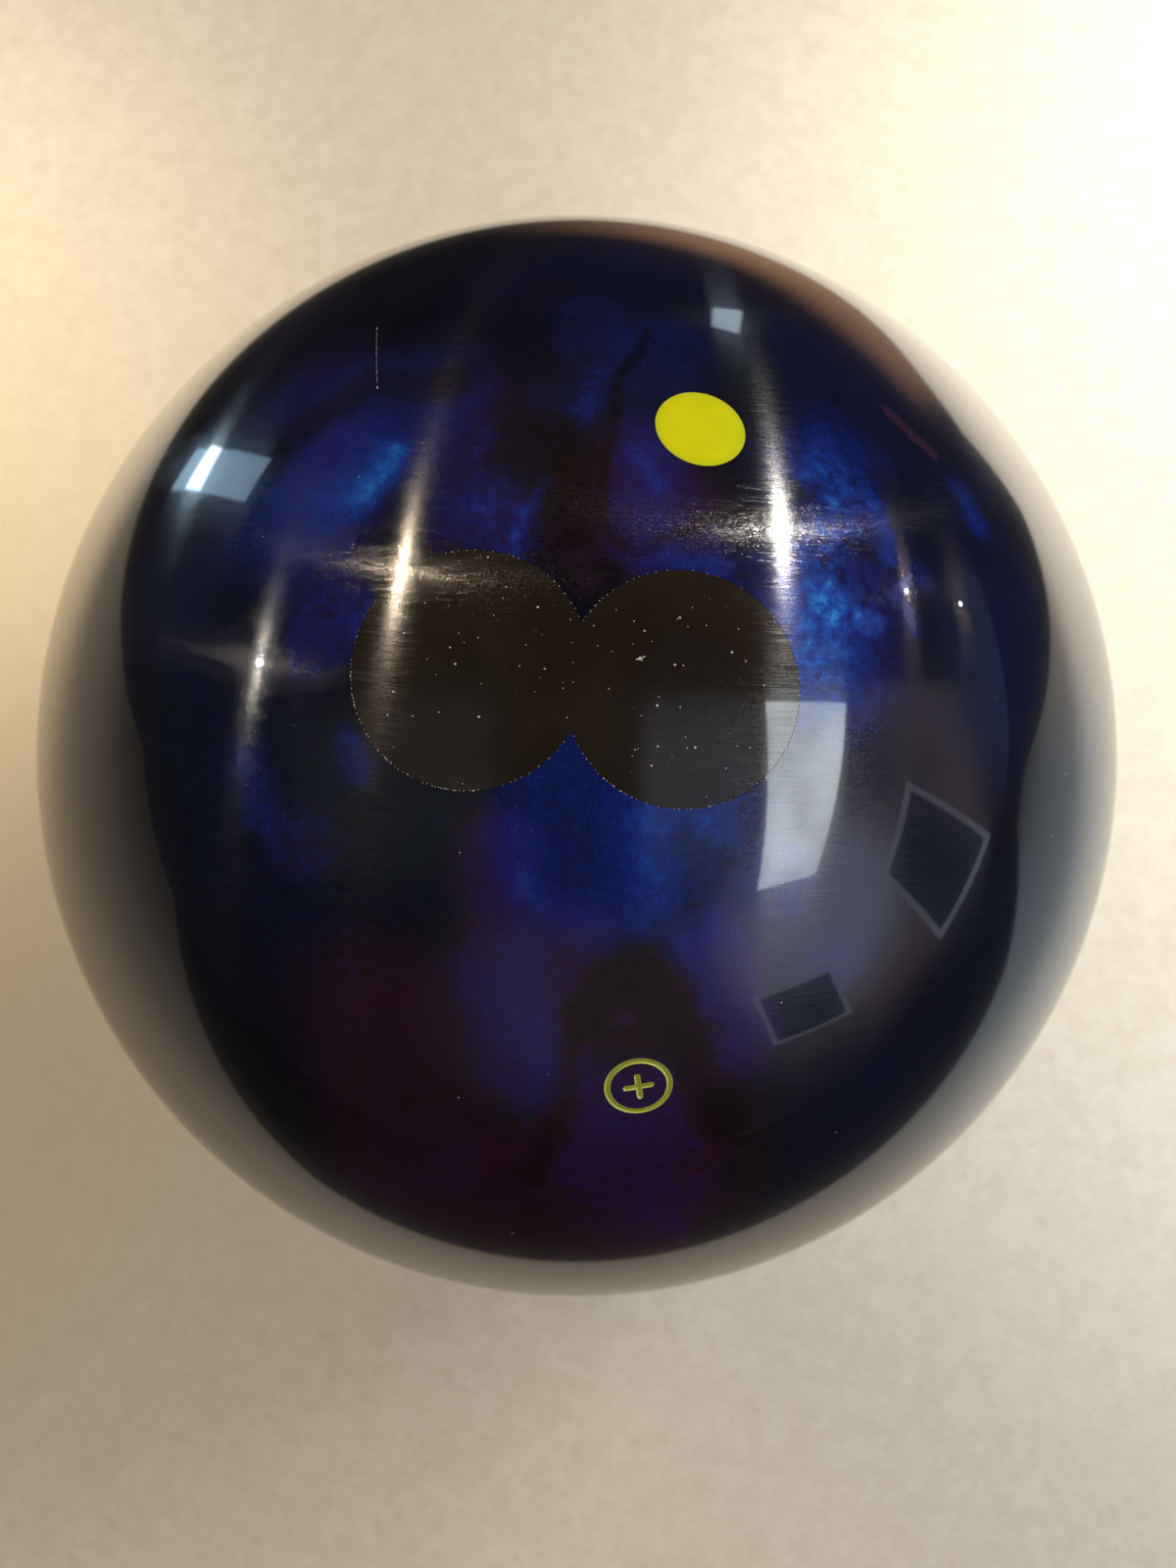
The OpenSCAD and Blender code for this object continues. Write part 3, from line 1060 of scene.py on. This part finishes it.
def paint_material():
    """Yellow paint: darker in the dip of a line from painted shade, paler where its edges climb
    the walls from a painted highlight.
    """
    material = start_tree("mark_paint")
    place = object_place()
    depth = BALL_R - vector_math("LENGTH", place)
    # painted shade and highlight: darker where the paint lies deep, paler at its edges up the
    # walls
    low = smooth(depth, start=0.08 * MM, end=0.24 * MM)
    grain = noise(place, scale=2200.0, detail=3.0, rough=0.6)
    color = mix(low, rgb(212, 216, 112), rgb(150, 160, 44))
    color = mix(smooth(grain, start=0.45, end=0.7) * 0.35, color, rgb(178, 180, 78))
    show(principled(Base_Color=color, Roughness=0.38,
                    Normal=bump(grain, strength=0.4, distance=0.05 * MM)))
    return material


def residue_material():
    material = start_tree("polish_residue")
    chalk = noise(object_place(), scale=1800.0, detail=2.0, rough=0.6)
    color = mix(smooth(chalk, start=0.35, end=0.7), rgb(205, 200, 190), rgb(246, 244, 238))
    show(principled(Base_Color=color, Roughness=0.65,
                    Normal=bump(chalk, strength=0.5, distance=0.05 * MM)))
    return material


def casting_material(name, dark, light, beads, grain_scale, rough):
    """Cast inner parts: mottled resin with mineral grains."""
    material = start_tree(name)
    place = object_place()
    flow = noise(place + wobble(place, scale=20.0, amount=0.02), scale=28.0, detail=4.0, rough=0.6)
    grain = noise(place, grain_scale, detail=3.0, rough=0.7)
    color = mix(smooth(flow, start=0.3, end=0.7), rgb(*dark), rgb(*light))
    bead = smooth(voronoi(place, grain_scale * 0.8)[0], start=0.30, end=0.12)
    color = mix(bead * 0.45, color, rgb(*beads))
    roughness = blend(smooth(grain, start=0.3, end=0.7), zero=rough - 0.1, one=rough + 0.12)
    show(principled(Base_Color=color, Roughness=roughness,
                    Normal=bump(grain * 0.6 + bead * -0.5, strength=0.5, distance=0.2 * MM)))
    return material


# Inner parts: node, material, dark, light and bead colours, grain scale, roughness.
CASTINGS = (
    ("outer_core", "core_filler", (196, 184, 156), (214, 205, 182), (232, 228, 214), 900.0, 0.6),
    ("weight_block", "dense_block", (96, 26, 22), (128, 42, 34), (70, 22, 20), 1100.0, 0.5),
    ("weight_block_cap", "dense_cap", (34, 66, 46), (48, 88, 62), (26, 46, 36), 1100.0, 0.5),
)

plug_resin = plug_material()
cover.data.materials.append(cover_material())
for piece in (left_plug, right_plug, thumb_plug):
    piece.data.materials.append(plug_resin)
pin_rod.data.materials.append(pin_material())
mark_paint = paint_material()
for piece in (mark_ring, mark_cross):
    piece.data.materials.append(mark_paint)
residue.data.materials.append(residue_material())
for node_name, *look in CASTINGS:
    casting = casting_material(*look)
    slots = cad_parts[node_name].data.materials
    slots.clear()
    slots.append(casting)


# ---------------------------------------------------------------- floor
BACKGROUND = rgb(226, 220, 210)


def counter_color(position, x, y, glossy):
    """Speckled stone, with painted casts of light and painted shade that make it look unevenly
    lit.
    """
    mottle = noise(position, scale=170.0, detail=3.0, rough=0.6)
    fine = noise(position, scale=640.0, detail=3.0, rough=0.65)
    color = mix(smooth(mottle, start=0.30, end=0.70), rgb(216, 209, 196), rgb(224, 218, 206))
    color = mix(smooth(fine, start=0.52, end=0.70) * 0.42, color, rgb(190, 181, 164))
    color = mix(smooth(fine, start=0.44, end=0.30) * 0.35, color, rgb(240, 236, 226))
    # painted daylight on its right end, which only reflections see
    painted_daylight = smooth(x, start=0.12, end=0.50) * smooth(y, start=0.16, end=-0.04) * glossy
    color = mix(painted_daylight * 0.75, color, rgb(176, 200, 226))
    # a painted warm cast of light on the left
    from_warm = vector_math("LENGTH", position - (-0.27, -0.02, -BALL_R))
    color = mix(smooth(from_warm, start=0.30, end=0.04) * 0.85, color, rgb(214, 196, 164))
    # painted shade: reflections see it dimmer near the ball and far away
    distance = vector_math("LENGTH", position)
    near = smooth(distance, start=0.44, end=0.20) * smooth(y, start=0.24, end=0.04) * 0.30
    far = (smooth(distance, start=0.16, end=0.55)
           * blend(smooth(x, start=0.15, end=-0.15), zero=0.34, one=0.44))
    return mix((near + far) * glossy, color, (0.03, 0.025, 0.02, 1))


def floor_material():
    material = start_tree("floor")
    position = output_of(add_node("ShaderNodeNewGeometry"), "Position")
    axes = add_node("ShaderNodeSeparateXYZ", {0: position})
    x, y = output_of(axes, "X"), output_of(axes, "Y")
    path = add_node("ShaderNodeLightPath")
    glossy = output_of(path, "Is Glossy Ray")
    stone = principled(Base_Color=counter_color(position, x, y, glossy), Roughness=0.55)

    # the counter's edges: a reflection of the floor stops there, as it does in a real room
    back_edge = 0.256 + smooth(x, start=0.10, end=0.32, result=(0.0, 0.07))
    in_back = smooth(y - back_edge, start=0.006, end=-0.006)
    front_edge = (calculate("MINIMUM", x + 0.22, 0.0) * 0.31
                  + smooth(x, start=0.1, end=0.6, result=(-0.335, -0.255)))
    in_front = smooth(y - front_edge, start=-0.006, end=0.006)
    right_edge = smooth(y, start=0.23, end=-0.06, result=(0.37, 1.8))
    in_right = smooth(x - right_edge, start=0.006, end=-0.006)
    on_counter = in_back * in_front * in_right

    # beyond the back edge a strip of wood, painted as a glow that only reflections see, shows
    # before the dark
    wood_end = 0.15 + calculate("MAXIMUM", x, 0.0) * 0.3
    wood = (smooth(x, start=-0.06, end=0.10)
            * smooth(y - back_edge, start=0.0, end=0.008)
            * smooth(y - back_edge, start=wood_end, end=0.05)
            * smooth(x - y * 0.9, start=0.06, end=-0.04))
    beyond = emission(mix(wood, (0.012, 0.010, 0.010, 1), (0.42, 0.235, 0.13, 1)), strength=1.0)
    surface = mix_shaders(glossy * inverse(on_counter), stone, beyond)

    # far away the floor runs into the pale background
    far = smooth(vector_math("LENGTH", position), start=0.5, end=1.6)
    show(mix_shaders(far * output_of(path, "Is Camera Ray"), surface,
                     emission(BACKGROUND, strength=1.0)))
    material.cycles.emission_sampling = "NONE"
    return material


floor = primitive("floor", bmesh.ops.create_grid, x_segments=2, y_segments=2, size=9.0)
floor.location.z = -BALL_R - 0.02 * MM
floor.data.materials.append(floor_material())


# ---------------------------------------------------------------- world
def mirrored_room(direction):
    """What the ball mirrors: a dim room, dark straight above and near the horizon."""
    axes = add_node("ShaderNodeSeparateXYZ", {0: direction})
    x, y, z = (output_of(axes, name) for name in "XYZ")
    # greyer in front, browner behind, dark low down and on the left
    room = mix(smooth(y, start=-0.25, end=0.12), (0.12, 0.112, 0.11, 1), (0.07, 0.042, 0.03, 1))
    room = mix(smooth(z, start=0.05, end=0.62), (0.012, 0.011, 0.012, 1), room)
    room = mix(smooth(x, start=-0.15, end=-0.55), room, (0.022, 0.022, 0.024, 1))
    # a cloudy brown wall on the right
    cloud = noise(direction, scale=2.6, detail=2.0, rough=0.5)
    wall = (smooth(x, start=0.40, end=0.60)
            * smooth(y, start=0.20, end=0.14) * smooth(y, start=-0.95, end=-0.65)
            * smooth(z, start=0.74, end=0.60) * smooth(z, start=-0.05, end=0.22)
            * smooth(cloud, start=0.3, end=0.6, result=(0.3, 1.0)))
    room = mix(wall, room, (0.34, 0.26, 0.25, 1))
    room = mix(smooth(z, start=0.88, end=0.72), (0.014, 0.012, 0.012, 1), room)
    # the glow round the window, and two faint glows low in front and on the right
    window = blob(direction, (0.69, -0.50, 0.52), inner=4.0, outer=23.0)
    room = mix(window * 0.90, room, (0.86, 0.92, 1.35, 1))
    room = mix(blob(direction, (0.43, -0.86, -0.22), inner=5.0, outer=16.0), room,
               (0.085, 0.058, 0.092, 1))
    room = mix(blob(direction, (0.975, 0.21, -0.03), inner=6.0, outer=21.0), room,
               (0.075, 0.095, 0.165, 1))
    # a paler ceiling in front, in a left and a right part with a dark gap between
    ceiling = (smooth(y, start=0.17, end=0.0) * smooth(y, start=-0.56, end=-0.28)
               * smooth(z, start=0.45, end=0.70))
    room = mix(ceiling * smooth(x, start=-0.22, end=-0.32), room, (0.085, 0.100, 0.100, 1))
    right = smooth(x, start=0.17, end=0.26)
    return mix(ceiling * right * smooth(x, start=0.62, end=0.50), room, (0.19, 0.235, 0.32, 1))


def studio_world():
    world = start_tree("studio", world=True)
    path = add_node("ShaderNodeLightPath")
    room = mirrored_room(unit(output_of(add_node("ShaderNodeTexCoord"), "Generated")))
    ambient = (0.345, 0.306, 0.256, 1)
    color = mix(output_of(path, "Is Glossy Ray"), ambient, room)
    color = mix(output_of(path, "Is Camera Ray"), color, BACKGROUND)
    show(output_of(add_node("ShaderNodeBackground", {"Color": color, "Strength": 1.0})), "World")
    world.cycles.sampling_method = "NONE"
    return world


bpy.context.scene.world = studio_world()


# ---------------------------------------------------------------- lights
# Small bright bulbs that the polish turns into stars.
# Name, direction from the origin given last, distance, bulb radius, power, colour, origin.
LAMPS = (
    ("lamp_a", (-0.5106, 0.4858, 0.7095), 1.6, 0.017, 29.5, (1.0, 0.80, 0.58),
     (-0.0302, 0.0188, 0.1016)),
    ("lamp_b", (0.5734, 0.5941, 0.5641), 1.6, 0.023, 48.0, (1.0, 0.93, 0.82),
     (0.0287, 0.0178, 0.1031)),
    ("lamp_c", (-0.867, 0.2238, 0.4453), 1.8, 0.013, 8.5, (1.0, 0.92, 0.80),
     (-0.0450, 0.0040, 0.0980)),
    ("lamp_d", (0.8569, 0.4131, 0.3084), 2.0, 0.008, 2.0, (1.0, 0.88, 0.76),
     (0.0450, 0.0140, 0.0970)),
    ("lamp_e", (0.9229, 0.3701, 0.106), 2.0, 0.005, 0.7, (1.0, 0.88, 0.76),
     (0.0560, 0.0140, 0.0920)),
)
# Soft square lights: name, location, x and y of the floor point aimed at, side, power, colour.
AREAS = (
    ("key", (0.75, 0.62, 0.75), (0.05, 0.05), 0.5, 7.0, (1.0, 0.94, 0.84)),
    ("window", (0.85, -0.75, 0.65), (0.05, -0.05), 0.5, 3.6, (0.88, 0.97, 1.0)),
    ("warm", (-0.75, 0.55, 0.60), (0, 0.05), 0.4, 2.6, (1.0, 0.76, 0.46)),
)
# Soft-edged pools of light: name, location, floor point, cone in degrees, power, colour.
POOLS = (
    ("pool_right", (0.46, 0.38, 0.40), (0.26, 0.16), 52, 19.5, (1.0, 0.95, 0.86)),
    ("pool_left", (-0.36, 0.24, 0.28), (-0.23, 0.15), 48, 6.2, (1.0, 0.88, 0.68)),
    ("pool_low", (0.42, -0.22, 0.28), (0.24, -0.11), 36, 2.4, (0.84, 0.94, 1.0)),
)


def new_light(name, kind, power, color):
    data = bpy.data.lights.new(name, kind)
    data.energy = power
    data.color = color
    return new_object(name, data)


def aim_at_floor(light, location, floor_point):
    """Point the light at the floor and hide it from reflections."""
    light.location = location
    light.rotation_mode = "QUATERNION"
    target = Vector((*floor_point, -BALL_R))
    light.rotation_quaternion = (target - Vector(location)).to_track_quat("-Z", "Y")
    light.visible_glossy = False


for name, direction, distance, radius, power, color, origin in LAMPS:
    lamp = new_light(name, "POINT", power, color)
    lamp.data.shadow_soft_size = radius
    lamp.location = Vector(origin) + Vector(direction).normalized() * distance
    lamp.visible_diffuse = False
for name, location, floor_point, side, power, color in AREAS:
    area = new_light(name, "AREA", power, color)
    area.data.shape = "RECTANGLE"
    area.data.size = area.data.size_y = side
    aim_at_floor(area, location, floor_point)
for name, location, floor_point, cone, power, color in POOLS:
    pool = new_light(name, "SPOT", power, color)
    pool.data.spot_size = math.radians(cone)
    pool.data.spot_blend = 1.0
    pool.data.shadow_soft_size = 0.06
    aim_at_floor(pool, location, floor_point)


# ---------------------------------------------------------------- reflected cards
# Cards: name, origin, directions of the four corners, distance, colour, strength.
SOFTBOXES = (
    ("softbox_right", (0.031, -0.006, 0.104),
     [(0.576, 0.102, 0.811), (0.784, 0.107, 0.612), (0.70, -0.404, 0.589),
      (0.542, -0.476, 0.693)], 1.9, (0.86, 0.95, 1.0, 1), 7.0),
    ("softbox_left", (-0.051, 0.035, 0.089),
     [(-0.794, 0.537, -0.286), (-0.724, 0.621, -0.300), (-0.707, 0.701, 0.088),
      (-0.793, 0.597, 0.121)], 0.55, (0.50, 0.76, 1.0, 1), 2.7),
    ("softbox_left_tube", (-0.051, 0.035, 0.089),
     [(-0.8, 0.561, -0.212), (-0.808, 0.576, -0.124), (-0.731, 0.661, -0.168),
      (-0.723, 0.649, -0.238)], 0.50, (0.62, 0.84, 1.0, 1), 13.0),
    ("softbox_back", (0.021, 0.059, 0.088),
     [(0.274, 0.952, -0.139), (0.332, 0.925, -0.183), (0.352, 0.935, -0.042),
      (0.29, 0.957, -0.027)], 0.85, (0.70, 0.86, 1.0, 1), 3.6),
)
# Framed pictures: name, origin, directions of the four corners, distance.
PICTURES = (
    ("picture_a", (0.047, -0.014, 0.097),
     [(0.907, -0.098, 0.41), (0.983, -0.181, 0.005), (0.886, -0.46, 0.051),
      (0.84, -0.368, 0.4)], 1.6),
    ("picture_b", (0.0245, -0.0422, 0.0969),
     [(0.502, -0.729, 0.464), (0.707, -0.606, 0.364), (0.719, -0.673, 0.173),
      (0.531, -0.804, 0.269)], 1.7),
)
PICTURE_BORDER = 0.13            # share of the picture taken by its rim


def corners_from(origin, directions, distance):
    return [Vector(origin) + Vector(d).normalized() * distance for d in directions]


def card(name, origin, directions, distance, color, strength, dimmest=0.7):
    """A glowing four-sided card that only reflections see."""
    made = mesh_object(name, corners_from(origin, directions, distance), [(0, 1, 2, 3)])
    material = start_tree(name)
    position = output_of(add_node("ShaderNodeNewGeometry"), "Position")
    cloud = noise(position, scale=3.0, detail=2.0, rough=0.5)
    glow = smooth(cloud, start=0.3, end=0.7, result=(dimmest, 1.1))
    show(emission(color, glow * strength))
    material.cycles.emission_sampling = "NONE"
    made.data.materials.append(material)
    made.visible_camera = False
    made.visible_shadow = False
    made.visible_diffuse = False


def picture(name, origin, directions, distance):
    """A pale rim with a dark glass just in front of it, both glowing cards that only reflections
    see.
    """
    card(name + "_rim", origin, directions, distance, (0.74, 0.80, 0.95, 1), strength=0.95,
         dimmest=0.85)
    corners = corners_from(origin, directions, distance)
    centre = sum(corners, Vector()) / 4
    inner = [centre + (corner - centre) * (1 - PICTURE_BORDER) - Vector(origin)
             for corner in corners]
    card(name + "_glass", origin, inner, distance * 0.985, (0.30, 0.42, 0.75, 1), strength=0.13,
         dimmest=0.85)


for softbox in SOFTBOXES:
    card(*softbox)
for framed in PICTURES:
    picture(*framed)


# ---------------------------------------------------------------- camera
CAMERA_TILT = math.radians(4.64)
CAMERA_PLACE = (0.002059, -0.005186, 0.260307)   # along the camera's own axes
camera_x = Vector((1, 0, 0))
camera_z = Vector((0, -math.sin(CAMERA_TILT), math.cos(CAMERA_TILT)))
camera_turn = Matrix((camera_x, camera_z.cross(camera_x), camera_z)).transposed()

camera_data = bpy.data.cameras.new("camera")
camera = new_object("camera", camera_data)
camera_data.sensor_width = 36.0
camera_data.lens = 27.045
camera.matrix_world = (Matrix.Translation(camera_turn @ Vector(CAMERA_PLACE))
                       @ camera_turn.to_4x4())
camera_data.clip_start, camera_data.clip_end = 0.005, 50.0
bpy.context.scene.camera = camera

# the lens focuses on the side of the ball that faces it, from wherever it looks
focus = new_object("focus_point", None)
follow = focus.constraints.new("COPY_LOCATION")
follow.target = camera
ball_centre = new_object("ball_centre", None)
keep = focus.constraints.new("LIMIT_DISTANCE")
keep.target = ball_centre
keep.distance = BALL_R * 0.93
keep.limit_mode = "LIMITDIST_ONSURFACE"
camera_data.dof.use_dof = True
camera_data.dof.focus_object = focus
camera_data.dof.aperture_fstop = 14.0

bpy.context.scene.view_settings.view_transform = "Standard"
